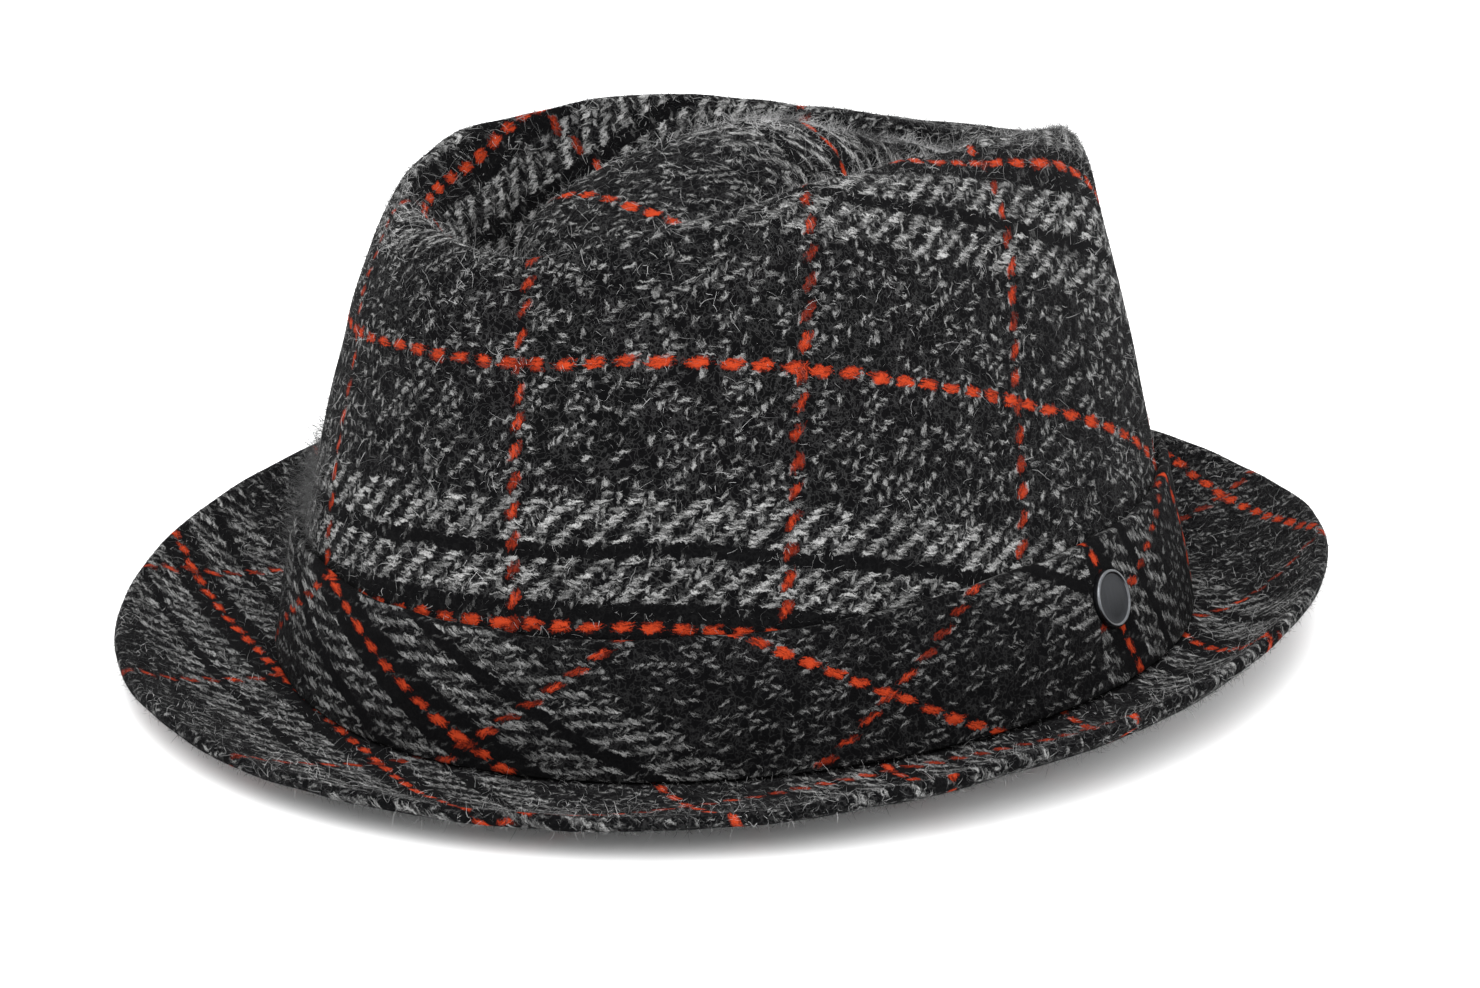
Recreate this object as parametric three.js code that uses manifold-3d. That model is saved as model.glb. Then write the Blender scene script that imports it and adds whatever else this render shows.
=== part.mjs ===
// A cloth trilby with a teardrop crown, a narrow cupped brim, a band and a small round badge.
// Millimetres. The hat stands on z = 0, its front faces -Y and the wearer's left is +X.
// Angles run round the hat in degrees from the front, through the wearer's left, to the back.

import * as THREE from "three";
import * as BufferGeometryUtils from "three/addons/utils/BufferGeometryUtils.js";
import Module from "manifold-3d";

const wasm = await Module();
wasm.setup();

// Head opening, inside the foot of the crown
const headLength = 198;
const headWidth = 176;

// Cloth walls and the gap between pieces
const crownWall = 2.4;
const bandWall = 2.3;
const brimWall = 3.0;
const pieceGap = 0.3;

// Crown: its height over its foot, and the teardrop ridge seen from above
const crownHeight = 110.5;
const ridgeLength = 172;
const ridgeWidth = 84;
const ridgeSetBack = 8;
const ridgeTaper = 2.0;
const ridgeTipShare = 0.11;
const islandSetBack = 6;

// Band round the foot of the crown
const bandHeight = 29;

// Brim: how far its front reaches past the band, how high its edge is turned up at most, how much
// its sides rise at the band, and how far its weight presses the cloth flat where it rests
const brimReach = 35;
const brimLift = 15;
const sideRise = 3.2;
const restPress = 0.7;
const brimFlat = 2;
const brimCurl = 1.9;

// Badge: a round disc on the band with a post through the cloth
const badgeDiameter = 12.4;
const badgeThickness = 1.6;
const badgeRim = 0.9;
const badgeRimRise = 0.3;
const badgePostDiameter = 1.8;
const badgePostSlack = 0.3;
const badgeAngle = 108;
const badgeDrop = 12;

// Fineness of the meshes
const sectionsRound = 72;
const brimSteps = 7;
const brimSpread = 0.7;
const bandSteps = 3;
const discSides = 24;

// Crown folds, a row for each angle. Out is a share of the way from the ridge out to the foot,
// in is a share of the way from the ridge in to the middle of the island, and up is a share of
// crownHeight.
const crownFolds = [
  { angle: 0, waistOut: 0.72, waistUp: 0.4, shoulderOut: 0.31, shoulderUp: 0.78, ridgeUp: 0.93,
    lipIn: 0.12, lipUp: 0.85, grooveIn: 0.24, grooveUp: 0.69, slopeIn: 0.42, slopeUp: 0.86 },
  { angle: 45, waistOut: 0.72, waistUp: 0.4, shoulderOut: 0.31, shoulderUp: 0.82, ridgeUp: 0.982,
    lipIn: 0.13, lipUp: 0.885, grooveIn: 0.26, grooveUp: 0.75, slopeIn: 0.43, slopeUp: 0.895 },
  { angle: 90, waistOut: 0.74, waistUp: 0.4, shoulderOut: 0.27, shoulderUp: 0.87, ridgeUp: 0.98,
    lipIn: 0.18, lipUp: 0.935, grooveIn: 0.38, grooveUp: 0.87, slopeIn: 0.58, slopeUp: 0.96 },
  { angle: 135, waistOut: 0.72, waistUp: 0.4, shoulderOut: 0.31, shoulderUp: 0.82, ridgeUp: 0.895,
    lipIn: 0.18, lipUp: 0.875, grooveIn: 0.37, grooveUp: 0.86, slopeIn: 0.56, slopeUp: 0.93 },
  { angle: 180, waistOut: 0.74, waistUp: 0.4, shoulderOut: 0.36, shoulderUp: 0.76, ridgeUp: 0.85,
    lipIn: 0.12, lipUp: 0.845, grooveIn: 0.3, grooveUp: 0.835, slopeIn: 0.54, slopeUp: 0.885 },
];
const islandUp = 1.0;

// Crown spans between the folds above, with the number of steps in each
const spanSteps = [3, 3, 4, 3, 3, 3, 3];

// Brim edge, a row for each angle. Reach is a share of brimReach and lift a share of brimLift.
const brimEdge = [
  { angle: 0, reach: 1.0, lift: 0.52 },
  { angle: 45, reach: 0.9, lift: 0.44 },
  { angle: 90, reach: 0.82, lift: 0.77 },
  { angle: 135, reach: 0.77, lift: 1.0 },
  { angle: 180, reach: 0.88, lift: 0.66 },
];

// Small helpers

const radians = THREE.MathUtils.degToRad;
const lerp = THREE.MathUtils.lerp;

function smooth(p0, p1, p2, p3, s) {
  const a = 2 * p1;
  const b = p2 - p0;
  const c = 2 * p0 - 5 * p1 + 4 * p2 - p3;
  const d = 3 * p1 - p0 - 3 * p2 + p3;
  return 0.5 * (a + b * s + c * s * s + d * s * s * s);
}

// Value of one column at an angle. The table covers one side, and the other mirrors it.
function atAngle(table, column, angle) {
  const last = table.length - 1;
  const step = table[1].angle - table[0].angle;
  const wrapped = THREE.MathUtils.euclideanModulo(angle, 360);
  const half = wrapped > 180 ? 360 - wrapped : wrapped;
  const row = Math.min(Math.floor(half / step), last - 1);
  const mirrored = (index) => {
    const folded = Math.abs(index);
    return table[folded > last ? 2 * last - folded : folded][column];
  };
  return smooth(mirrored(row - 1), mirrored(row), mirrored(row + 1), mirrored(row + 2), half / step - row);
}

// Plan shapes

// The head's middle lies a little behind the middle of the brim's outline
const headY = (brimReach * (brimEdge[0].reach - brimEdge[brimEdge.length - 1].reach)) / 2;

function ovalPoint(length, width, angle) {
  const t = radians(angle);
  return new THREE.Vector2((width / 2) * Math.sin(t), headY - (length / 2) * Math.cos(t));
}

// Foot of the crown's outer face
function footPoint(angle, outwards) {
  return ovalPoint(headLength + 2 * outwards, headWidth + 2 * outwards, angle);
}

// Teardrop: round at the front, drawn to a small round tip at the back
function teardropShare(angle) {
  const t = radians(angle);
  const taper = Math.pow(Math.abs(Math.cos(t / 2)), ridgeTaper);
  return Math.sin(t) * lerp(taper, 1, ridgeTipShare);
}

const teardropBulge = Math.max(...Array.from({ length: 181 }, (_, degrees) => teardropShare(degrees)));

function ridgePoint(angle) {
  const x = ((ridgeWidth / 2) * teardropShare(angle)) / teardropBulge;
  return new THREE.Vector2(x, headY + ridgeSetBack - (ridgeLength / 2) * Math.cos(radians(angle)));
}

// Height of the brim's upper face at the band: level at front and back, raised at the sides
function rootHeight(angle) {
  return brimWall - restPress + (sideRise * (1 - Math.cos(2 * radians(angle)))) / 2;
}

// Crown

function crownProfile(angle) {
  const foot = footPoint(angle, crownWall);
  const ridge = ridgePoint(angle);
  const middle = new THREE.Vector2(0, headY + islandSetBack);
  const column = (name) => atAngle(crownFolds, name, angle);
  const footZ = rootHeight(angle) + pieceGap;
  const top = rootHeight(0) + pieceGap + crownHeight * islandUp;
  const place = (plan, up) => {
    const level = lerp(footZ, rootHeight(0) + pieceGap, Math.min(up * 2, 1));
    return new THREE.Vector3(plan.x, plan.y, level + crownHeight * up);
  };
  const outside = (out, up) => place(ridge.clone().lerp(foot, out), up);
  const inside = (inwards, up) => place(ridge.clone().lerp(middle, inwards), up);
  const slopeIn = column("slopeIn");
  const points = [
    outside(1, 0),
    outside(column("waistOut"), column("waistUp")),
    outside(column("shoulderOut"), column("shoulderUp")),
    outside(0, column("ridgeUp")),
    inside(column("lipIn"), column("lipUp")),
    inside(column("grooveIn"), column("grooveUp")),
    inside(slopeIn, column("slopeUp")),
    new THREE.Vector3(middle.x, middle.y, top),
  ];
  const before = points[0].clone().multiplyScalar(2).sub(points[1]);
  const after = inside(2 - slopeIn, column("slopeUp"));
  return [before, ...points, after];
}

// A point on the crown's outer face: span counts along the folds from the foot to the middle
function crownPoint(profile, span) {
  const index = Math.min(Math.floor(span), spanSteps.length - 1);
  const [p0, p1, p2, p3] = profile.slice(index, index + 4);
  const s = span - index;
  return new THREE.Vector3(
    smooth(p0.x, p1.x, p2.x, p3.x, s),
    smooth(p0.y, p1.y, p2.y, p3.y, s),
    smooth(p0.z, p1.z, p2.z, p3.z, s),
  );
}

// Outward direction of the crown's outer face at an angle and span
function crownNormal(angle, span) {
  const turn = 3;
  const slide = 0.25;
  const from = Math.max(span - slide, 0);
  const to = Math.min(span + slide, spanSteps.length);
  const ahead = crownPoint(crownProfile(angle + turn), span);
  const behind = crownPoint(crownProfile(angle - turn), span);
  const here = crownProfile(angle);
  const around = ahead.sub(behind);
  const along = crownPoint(here, to).sub(crownPoint(here, from));
  return around.cross(along).normalize();
}

function crownSpans() {
  const spans = [];
  spanSteps.forEach((steps, index) => {
    for (let step = 0; step < steps; step += 1) spans.push(index + step / steps);
  });
  return spans;
}

// Mesh from rows of points, each row a closed ring, with an optional single point at the end
class MeshBuilder {
  constructor() {
    this.positions = [];
    this.triangles = [];
  }

  addPoint(point) {
    this.positions.push(point.x, point.y, point.z);
    return this.positions.length / 3 - 1;
  }

  addRing(points) {
    return points.map((point) => this.addPoint(point));
  }

  // Joins two rings of equal count. Faces look outwards when the second ring follows the first.
  joinRings(first, second) {
    const count = first.length;
    for (let i = 0; i < count; i += 1) {
      const j = (i + 1) % count;
      this.triangles.push(first[i], first[j], second[j], first[i], second[j], second[i]);
    }
  }

  closeRing(ring, centre) {
    const count = ring.length;
    for (let i = 0; i < count; i += 1) this.triangles.push(ring[i], ring[(i + 1) % count], centre);
  }

  geometry() {
    const result = new THREE.BufferGeometry();
    result.setAttribute("position", new THREE.Float32BufferAttribute(this.positions, 3));
    result.setIndex(this.triangles);
    result.computeVertexNormals();
    return result;
  }
}

const roundAngles = Array.from({ length: sectionsRound }, (_, i) => (360 * i) / sectionsRound);

function makeCrown() {
  const spans = crownSpans();
  const profiles = roundAngles.map((angle) => crownProfile(angle));
  const outerRings = spans.map((span) => profiles.map((profile) => crownPoint(profile, span)));
  const innerRings = spans.map((span, ringIndex) =>
    roundAngles.map((angle, i) => {
      const point = outerRings[ringIndex][i].clone();
      const normal = crownNormal(angle, span);
      if (ringIndex === 0) normal.setZ(0).normalize();
      return point.addScaledVector(normal, -crownWall);
    }),
  );
  const builder = new MeshBuilder();
  const outer = outerRings.map((ring) => builder.addRing(ring));
  const inner = innerRings.map((ring) => builder.addRing(ring));
  const top = crownPoint(profiles[0], spanSteps.length);
  const outerTop = builder.addPoint(top);
  const innerTop = builder.addPoint(top.clone().setZ(top.z - crownWall));
  for (let r = 1; r < spans.length; r += 1) {
    builder.joinRings(outer[r - 1], outer[r]);
    builder.joinRings(inner[r], inner[r - 1]);
  }
  builder.closeRing(outer[spans.length - 1], outerTop);
  builder.closeRing([...inner[spans.length - 1]].reverse(), innerTop);
  builder.joinRings(inner[0], outer[0]);
  return builder.geometry();
}

// Rings whose sections are closed loops of points, such as the band and the brim
function loopGeometry(sectionAt) {
  const sections = roundAngles.map((angle) => sectionAt(angle));
  const builder = new MeshBuilder();
  const rings = sections[0].map((_, k) => builder.addRing(sections.map((section) => section[k])));
  rings.forEach((ring, k) => builder.joinRings(ring, rings[(k + 1) % rings.length]));
  return builder.geometry();
}

// Band

// Span on the crown's side at a height over its foot
function spanAtHeight(angle, height) {
  const profile = crownProfile(angle);
  const footZ = profile[1].z;
  let low = 0;
  let high = 2;
  for (let pass = 0; pass < 24; pass += 1) {
    const middle = (low + high) / 2;
    if (crownPoint(profile, middle).z - footZ < height) low = middle;
    else high = middle;
  }
  return low;
}

function bandPoint(angle, height, outwards) {
  const span = spanAtHeight(angle, height);
  const point = crownPoint(crownProfile(angle), span);
  return point.addScaledVector(crownNormal(angle, span), outwards);
}

function bandSection(angle) {
  const inner = [];
  const outer = [];
  for (let step = 0; step <= bandSteps; step += 1) {
    const height = (bandHeight * step) / bandSteps;
    inner.push(bandPoint(angle, height, pieceGap));
    outer.push(bandPoint(angle, height, pieceGap + bandWall));
  }
  const footZ = inner[0].z;
  outer[0].z = footZ;
  inner[0].z = footZ;
  return [...outer, ...inner.reverse()];
}

// Brim

// Plan point of the brim: share 0 at its inner edge, 1 at its outer edge
function brimPlan(angle, share) {
  const foot = crownWall + pieceGap + bandWall;
  const reach = brimReach * atAngle(brimEdge, "reach", angle);
  return footPoint(angle, 0).lerp(footPoint(angle, foot + reach), share);
}

// Share up to which the brim stays level, a little past the band
function flatShare(angle) {
  const width = brimPlan(angle, 0).distanceTo(brimPlan(angle, 1));
  return (crownWall + pieceGap + bandWall + brimFlat) / width;
}

function brimHeight(angle, share) {
  const flat = flatShare(angle);
  const curl = Math.max(share - flat, 0) / (1 - flat);
  const lift = brimLift * atAngle(brimEdge, "lift", angle);
  return rootHeight(angle) - brimWall / 2 + lift * Math.pow(curl, brimCurl);
}

function brimSection(angle) {
  const upper = [];
  const lower = [];
  const slide = 0.01;
  const flat = flatShare(angle);
  const curled = Array.from({ length: brimSteps }, (_, i) => Math.pow(i / (brimSteps - 1), brimSpread));
  const shares = [0, ...curled.map((curl) => lerp(flat, 1, curl))];
  const place = (share, offset) => {
    const plan = brimPlan(angle, share);
    const before = brimPlan(angle, share - slide);
    const after = brimPlan(angle, share + slide);
    const run = after.clone().sub(before);
    const rise = brimHeight(angle, share + slide) - brimHeight(angle, share - slide);
    const slope = Math.atan2(rise, run.length());
    run.normalize();
    const outwards = -offset * Math.sin(slope);
    const z = brimHeight(angle, share) + offset * Math.cos(slope);
    return new THREE.Vector3(plan.x + run.x * outwards, plan.y + run.y * outwards, Math.max(z, 0));
  };
  for (const share of shares) {
    upper.push(place(share, brimWall / 2));
    lower.push(place(share, -brimWall / 2));
  }
  const edge = place(1 + brimWall / 2 / brimPlan(angle, 0).distanceTo(brimPlan(angle, 1)), 0);
  return [...lower, edge, ...upper.reverse()];
}

// Badge: turned about its own axis, which points straight out of the band

function badgeFrame() {
  const seatHeight = bandHeight - badgeDrop;
  const centre = bandPoint(badgeAngle, seatHeight, pieceGap + bandWall);
  const span = spanAtHeight(badgeAngle, seatHeight);
  return { centre, normal: crownNormal(badgeAngle, span) };
}

function badgeProfile() {
  const radius = badgeDiameter / 2;
  const postRadius = badgePostDiameter / 2;
  const front = pieceGap + badgeThickness;
  const bevel = badgeRimRise;
  return [
    [0, -bandWall * 0.7],
    [postRadius, -bandWall * 0.7],
    [postRadius, pieceGap],
    [radius - bevel, pieceGap],
    [radius, pieceGap + bevel],
    [radius, front - bevel],
    [radius - bevel, front],
    [radius - badgeRim, front],
    [radius - badgeRim - bevel, front - bevel],
    [0, front - bevel],
  ].map(([r, height]) => new THREE.Vector2(r, height));
}

function placeOnBand(mesh) {
  const { centre, normal } = badgeFrame();
  mesh.position.copy(centre);
  mesh.quaternion.setFromUnitVectors(new THREE.Vector3(0, 1, 0), normal);
  return mesh;
}

// Cutting with closed meshes

function toSolid(geometry) {
  const bare = geometry.clone();
  bare.deleteAttribute("normal");
  bare.deleteAttribute("uv");
  const merged = BufferGeometryUtils.mergeVertices(bare);
  return new wasm.Manifold(
    new wasm.Mesh({
      numProp: 3,
      vertProperties: new Float32Array(merged.attributes.position.array),
      triVerts: new Uint32Array(merged.index.array),
    }),
  );
}

function fromSolid(solid) {
  const mesh = solid.getMesh();
  const geometry = new THREE.BufferGeometry();
  geometry.setAttribute("position", new THREE.Float32BufferAttribute(mesh.vertProperties, 3));
  geometry.setIndex(new THREE.Uint32BufferAttribute(mesh.triVerts, 1));
  geometry.computeVertexNormals();
  return geometry;
}

function makeBand() {
  const holeLength = 4 * bandWall;
  const holeRadius = badgePostDiameter / 2 + badgePostSlack;
  const drillShape = new THREE.CylinderGeometry(holeRadius, holeRadius, holeLength, discSides);
  const drill = placeOnBand(new THREE.Mesh(drillShape));
  drill.updateMatrixWorld();
  const hole = drill.geometry.clone().applyMatrix4(drill.matrixWorld);
  return fromSolid(toSolid(loopGeometry(bandSection)).subtract(toSolid(hole)));
}

// Materials: charcoal wool tweed for the cloth, dark burnished metal for the badge

const tweed = { roughness: 0.95, metalness: 0 };
const crownCloth = new THREE.MeshStandardMaterial({ color: 0x2b2b2d, ...tweed });
const bandCloth = new THREE.MeshStandardMaterial({ color: 0x252527, ...tweed });
const brimCloth = new THREE.MeshStandardMaterial({ color: 0x2f2f31, ...tweed });
const gunmetal = new THREE.MeshStandardMaterial({ color: 0x3a3b3d, roughness: 0.35, metalness: 1 });

function named(name, geometry, material) {
  const mesh = new THREE.Mesh(geometry, material);
  mesh.name = name;
  return mesh;
}

const hat = new THREE.Group();
hat.add(named("crown", makeCrown(), crownCloth));
hat.add(named("brim", loopGeometry(brimSection), brimCloth));
hat.add(named("hat_band", makeBand(), bandCloth));
hat.add(placeOnBand(named("badge", new THREE.LatheGeometry(badgeProfile(), discSides), gunmetal)));

export default hat;
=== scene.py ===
"""A wool tweed trilby on a pale floor: crown, brim, band and badge over the frame's solids.

Sizes in the tables are millimetres, with the hat's front towards -Y and the wearer's left
towards +X. Angles run in degrees from the front, through the wearer's left, to the back.
"""

import math

import bpy
import numpy as np
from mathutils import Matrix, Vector


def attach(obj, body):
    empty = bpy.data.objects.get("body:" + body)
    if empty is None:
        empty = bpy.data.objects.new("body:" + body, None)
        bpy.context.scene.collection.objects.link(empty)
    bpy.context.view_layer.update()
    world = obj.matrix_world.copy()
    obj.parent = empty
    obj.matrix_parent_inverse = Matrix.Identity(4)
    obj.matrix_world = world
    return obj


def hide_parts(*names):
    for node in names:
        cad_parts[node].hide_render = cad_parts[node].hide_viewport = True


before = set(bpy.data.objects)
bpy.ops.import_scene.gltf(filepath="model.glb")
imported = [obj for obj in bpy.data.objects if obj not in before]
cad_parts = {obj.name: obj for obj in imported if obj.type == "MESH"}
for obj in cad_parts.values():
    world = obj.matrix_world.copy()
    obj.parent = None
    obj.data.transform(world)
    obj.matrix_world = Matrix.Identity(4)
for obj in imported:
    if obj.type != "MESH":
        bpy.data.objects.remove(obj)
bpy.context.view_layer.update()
RNG = np.random.default_rng(58)
MM = 0.001

# Sizes shared with the solids
HEAD_LENGTH = 198.0
HEAD_WIDTH = 176.0
CROWN_WALL = 2.4
BAND_WALL = 2.3
BRIM_WALL = 3.0
PIECE_GAP = 0.3
CROWN_HEIGHT = 110.5
RIDGE_LENGTH = 172.0
RIDGE_WIDTH = 84.0
RIDGE_SET_BACK = 8.0
RIDGE_TAPER = 2.0
RIDGE_TIP = 0.11
ISLAND_SET_BACK = 6.0
BAND_HEIGHT = 29.0
BRIM_REACH = 35.0
BRIM_LIFT = 15.0
SIDE_RISE = 3.2
REST_PRESS = 0.7
BRIM_FLAT = 2.0
BRIM_CURL = 1.9
BADGE_DIAMETER = 12.4
BADGE_THICKNESS = 1.6
BADGE_ANGLE = 108.0
BADGE_DROP = 12.0

# Crown folds, rows every 45 degrees from the front to the back
FOLDS = {
    "waist_out": [0.72, 0.72, 0.74, 0.72, 0.74],
    "waist_up": [0.4, 0.4, 0.4, 0.4, 0.4],
    "shoulder_out": [0.31, 0.31, 0.27, 0.31, 0.36],
    "shoulder_up": [0.78, 0.82, 0.87, 0.82, 0.76],
    "ridge_up": [0.93, 0.982, 0.98, 0.895, 0.85],
    "lip_in": [0.12, 0.13, 0.18, 0.18, 0.12],
    "lip_up": [0.85, 0.885, 0.935, 0.875, 0.845],
    "groove_in": [0.24, 0.26, 0.38, 0.37, 0.3],
    "groove_up": [0.69, 0.75, 0.87, 0.86, 0.835],
    "slope_in": [0.42, 0.43, 0.58, 0.56, 0.54],
    "slope_up": [0.86, 0.895, 0.96, 0.93, 0.885],
}
BRIM_EDGE = {
    "reach": [1.0, 0.9, 0.82, 0.77, 0.88],
    "lift": [0.52, 0.44, 0.77, 1.0, 0.66],
}
HEAD_Y = BRIM_REACH * (BRIM_EDGE["reach"][0] - BRIM_EDGE["reach"][-1]) / 2


# Shape functions, the same as the solids'


def smooth(p0, p1, p2, p3, s):
    b = p2 - p0
    c = 2 * p0 - 5 * p1 + 4 * p2 - p3
    d = 3 * p1 - p0 - 3 * p2 + p3
    return 0.5 * (2 * p1 + b * s + c * s * s + d * s * s * s)


def at_angle(column, angle):
    """Value of a column at each angle: one side of the hat, mirrored for the other."""
    values = np.asarray(column, float)
    last = len(values) - 1
    wrapped = np.mod(angle, 360.0)
    half = np.where(wrapped > 180.0, 360.0 - wrapped, wrapped) / 45.0
    row = np.minimum(np.floor(half).astype(int), last - 1)

    def mirrored(index):
        folded = np.abs(index)
        return values[np.where(folded > last, 2 * last - folded, folded)]

    return smooth(mirrored(row - 1), mirrored(row), mirrored(row + 1), mirrored(row + 2), half - row)


def foot_point(angle, out):
    t = np.radians(angle)
    x = (HEAD_WIDTH / 2 + out) * np.sin(t)
    y = HEAD_Y - (HEAD_LENGTH / 2 + out) * np.cos(t)
    return np.stack([x, y], -1)


def teardrop(angle):
    t = np.radians(angle)
    taper = np.abs(np.cos(t / 2)) ** RIDGE_TAPER
    return np.sin(t) * (taper * (1 - RIDGE_TIP) + RIDGE_TIP)


BULGE = teardrop(np.arange(181.0)).max()


def ridge_point(angle):
    x = RIDGE_WIDTH / 2 * teardrop(angle) / BULGE
    y = HEAD_Y + RIDGE_SET_BACK - RIDGE_LENGTH / 2 * np.cos(np.radians(angle))
    return np.stack([x, y], -1)


def root_height(angle):
    return BRIM_WALL - REST_PRESS + SIDE_RISE * (1 - np.cos(2 * np.radians(angle))) / 2


def crown_profile(angle):
    """Ten points of the fold profile at each angle, with one spare at either end."""
    angle = np.asarray(angle, float)
    foot = foot_point(angle, CROWN_WALL)
    ridge = ridge_point(angle)
    middle = np.array([0.0, HEAD_Y + ISLAND_SET_BACK])
    base = root_height(0.0) + PIECE_GAP
    foot_z = root_height(angle) + PIECE_GAP
    fold = {name: at_angle(column, angle) for name, column in FOLDS.items()}

    def place(plan, up):
        level = foot_z + (base - foot_z) * np.minimum(2 * up, 1)
        return np.concatenate([plan, (level + CROWN_HEIGHT * up)[..., None]], -1)

    def outside(out, up):
        return place(ridge + (foot - ridge) * np.asarray(out)[..., None], up)

    def inside(share, up):
        return place(ridge + (middle - ridge) * np.asarray(share)[..., None], up)

    one = np.ones_like(angle)
    points = [
        outside(one, 0 * one),
        outside(fold["waist_out"], fold["waist_up"]),
        outside(fold["shoulder_out"], fold["shoulder_up"]),
        outside(0 * one, fold["ridge_up"]),
        inside(fold["lip_in"], fold["lip_up"]),
        inside(fold["groove_in"], fold["groove_up"]),
        inside(fold["slope_in"], fold["slope_up"]),
        place(middle + 0 * ridge, one),
    ]
    after = inside(2 - fold["slope_in"], fold["slope_up"])
    return np.stack([2 * points[0] - points[1], *points, after], -2)


SPANS = 7


def crown_grid(angles, spans):
    """Points of the crown's outer face, rows of spans by columns of angles."""
    profile = crown_profile(angles)
    rows = []
    for span in spans:
        index = min(int(span), SPANS - 1)
        p = [profile[:, index + k] for k in range(4)]
        rows.append(smooth(*p, span - index))
    return np.array(rows)


def grid_normals(grid):
    """Outward normals of rows of closed rings."""
    around = np.roll(grid, -1, 1) - np.roll(grid, 1, 1)
    along = np.gradient(grid, axis=0)
    normal = np.cross(around, along)
    return normal / np.maximum(np.linalg.norm(normal, axis=-1, keepdims=True), 1e-9)


def waves(grid, size, seed, count=24):
    """Soft seeded unevenness, about -1 to 1, with waves of about the given size."""
    rng = np.random.default_rng(seed)
    total = np.zeros(grid.shape[:-1])
    for _ in range(count):
        direction = rng.normal(size=3)
        direction /= np.linalg.norm(direction)
        k = 2 * math.pi / (size * rng.uniform(0.7, 1.6))
        total += np.sin(grid @ direction * k + rng.uniform(0, 2 * math.pi))
    return total / math.sqrt(count)


# Cloth charts: thread counts (u, v) at each point of a surface


def arc(grid, axis):
    """Running length along an axis of a grid of points, from zero."""
    steps = np.linalg.norm(np.diff(grid, axis=axis), axis=-1)
    start = np.zeros_like(np.take(steps, [0], axis=axis))
    return np.concatenate([start, np.cumsum(steps, axis=axis)], axis=axis)


# Threads between orange lines, and threads in one repeat of the twill
LINE_SPACING = 36.0
TWILL = 4.0

# Millimetres between threads, and where each panel's grain starts and turns
WARP_PITCH = 1.6
WEFT_PITCH = 1.5
SIDE_LEVEL = 40.0
SIDE_MIDDLE = 45.0
SIDE_LOW = 8.0
SIDE_HIGH = 88.0
SIDE_AT = (-24.6, 31.5)
SIDE_SEAM = 205.0
TIP_TURN = 7.0
TIP_PITCH = 1.34
TIP_AT = (-27.0, -33.0)
TIP_SLOPE_SHARE = 0.45
BAND_JOIN = 105.0
BAND_FOOT_TURN = 2.6
BRIM_TURN = 15.0
BRIM_AT = (65.4, 99.7)
BRIM_PITCH = (1.5, 1.27)

# The band's threads: how much the run along it and the height across it count, where the
# first orange line lies and how far apart they are, before and behind the join
BAND_WEFT = (0.469, 0.883, 21.4, 49.0)
BAND_WARP = (0.6, -0.8, 12.4, 47.5)
JOIN_WEFT = (0.93, 0.36, 180.0, 50.0)
JOIN_WARP = (0.36, -0.93, 0.0, 50.0)

# How many times the side panel's own bend its strip takes when laid flat, by angle
SIDE_BEND = {-90.0: 1.5, -70.0: 0.6, 39.9: 0.6, 40.0: 2.3, 135.0: 2.3, 150.0: 0.6}

# Behind this warp the cloth is stretched round the back by this share
BACK_WARP = 78.0
BACK_STRETCH = 0.25

# Rows of weft by which the side panel is eased over the ridge, by angle
PANEL_EASE = {-75: 0.0, -50: 3.0, -20: 13.0, 0: 3.0, 25: 0.0, 90: 0.0, 115: -1.8, 150: -2.2, 180: 0.0}


def side_chart(angles, spans):
    """The side of the crown laid flat as a strip that bends as its upper edge draws in."""
    grid = crown_grid(angles, spans)
    height = arc(grid, 0)
    width = np.linalg.norm(np.gradient(grid, axis=1), axis=-1)
    columns = len(angles)

    def width_at(level):
        return np.array([np.interp(level, height[:, c], width[:, c]) for c in range(columns)])

    mid = width_at(SIDE_MIDDLE)
    drawn_in = (width_at(SIDE_LOW) - width_at(SIDE_HIGH)) / (SIDE_HIGH - SIDE_LOW)
    bend = drawn_in * np.interp(angles, list(SIDE_BEND), list(SIDE_BEND.values()))
    zero = int(np.argmin(np.abs(angles - SIDE_LEVEL)))
    heading = np.cumsum(bend)
    heading -= heading[zero]
    x = np.cumsum(np.cos(heading) * mid)
    y = np.cumsum(np.sin(heading) * mid)
    x -= x[zero]
    y -= y[zero]
    up = height - SIDE_MIDDLE
    u = x[None, :] - np.sin(heading)[None, :] * up
    v = y[None, :] + np.cos(heading)[None, :] * up + SIDE_MIDDLE
    turned = np.mod(angles + 180.0, 360.0) - 180.0
    ease = np.interp(turned, list(PANEL_EASE), list(PANEL_EASE.values()))
    over = np.clip((np.asarray(spans) - 1.8) / 1.2, 0, 1)[:, None]
    rows = (v - SIDE_AT[1]) / WEFT_PITCH + 0.5 + over * ease[None, :]
    warps = (u - SIDE_AT[0]) / WARP_PITCH + 0.5
    warps -= BACK_STRETCH * np.maximum(warps - BACK_WARP, 0)
    return warps, rows


# Meshes


def add_mesh(name, points, faces, uvs=None, material=None):
    """A mesh from points in millimetres, with thread counts for each face corner."""
    mesh = bpy.data.meshes.new(name)
    mesh.from_pydata((np.asarray(points) * MM).tolist(), [], faces.tolist())
    mesh.polygons.foreach_set("use_smooth", [True] * len(mesh.polygons))
    if uvs is not None:
        layer = mesh.uv_layers.new(name="threads")
        layer.data.foreach_set("uv", np.asarray(uvs, np.float32).ravel())
    if material is not None:
        mesh.materials.append(material)
    mesh.update()
    obj = bpy.data.objects.new(name, mesh)
    bpy.context.scene.collection.objects.link(obj)
    return obj


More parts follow.
